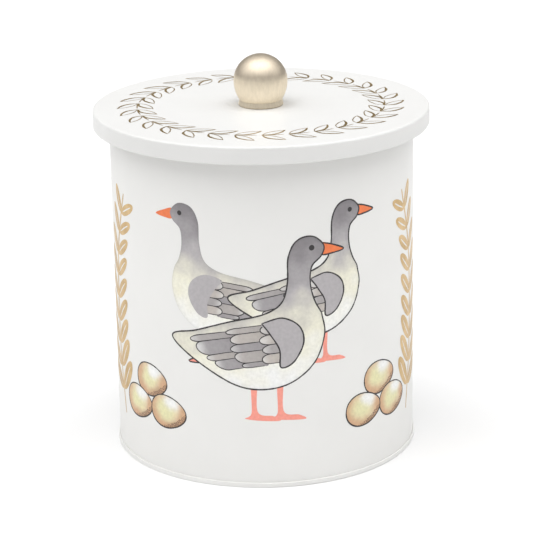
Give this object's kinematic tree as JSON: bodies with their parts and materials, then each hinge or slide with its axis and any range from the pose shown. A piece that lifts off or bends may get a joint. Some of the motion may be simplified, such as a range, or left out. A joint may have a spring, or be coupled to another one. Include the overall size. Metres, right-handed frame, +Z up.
{
  "type": "cookie tin",
  "caption": "Round storage tin for biscuits: cylindrical sheet-metal wall with a seamed base, overhanging lift-off lid with a sealed plug, and a ball knob.",
  "frame": {"origin": "centre of the foot, on the surface that the tin stands on", "axes": "+Z up along the tin's axis; -Y is the decorated front and +Y the side of the lock seam"},
  "size_m": [0.155, 0.155, 0.1846],
  "materials": {
    "wall_enamel": "satin off-white enamel outside, bare tinplate inside",
    "lid_enamel": "satin off-white enamel",
    "tinplate": "bare tinplate",
    "silicone": "translucent white silicone",
    "gold_plate": "satin champagne-gold plating",
    "zinc_plate": "bright zinc plating"
  },
  "bodies": {
    "tin": {"body_wall": "wall_enamel", "base_plate": "tinplate"},
    "seal": {"lid_seal": "silicone"},
    "lid": {"lid_cover": "lid_enamel", "lid_liner": "tinplate", "knob": "gold_plate", "knob_screw": "zinc_plate", "knob_washer": "zinc_plate"}
  },
  "joints": [
    {"name": "lid_lift", "type": "slide", "parent": "tin", "child": "seal", "axis": [0, 0, 1], "range_m": [0, 0.17]},
    {"name": "lid_turn", "type": "hinge", "parent": "seal", "child": "lid", "pos_m": [0, 0, 0.154], "axis": [0, 0, 1], "continuous": true}
  ]
}
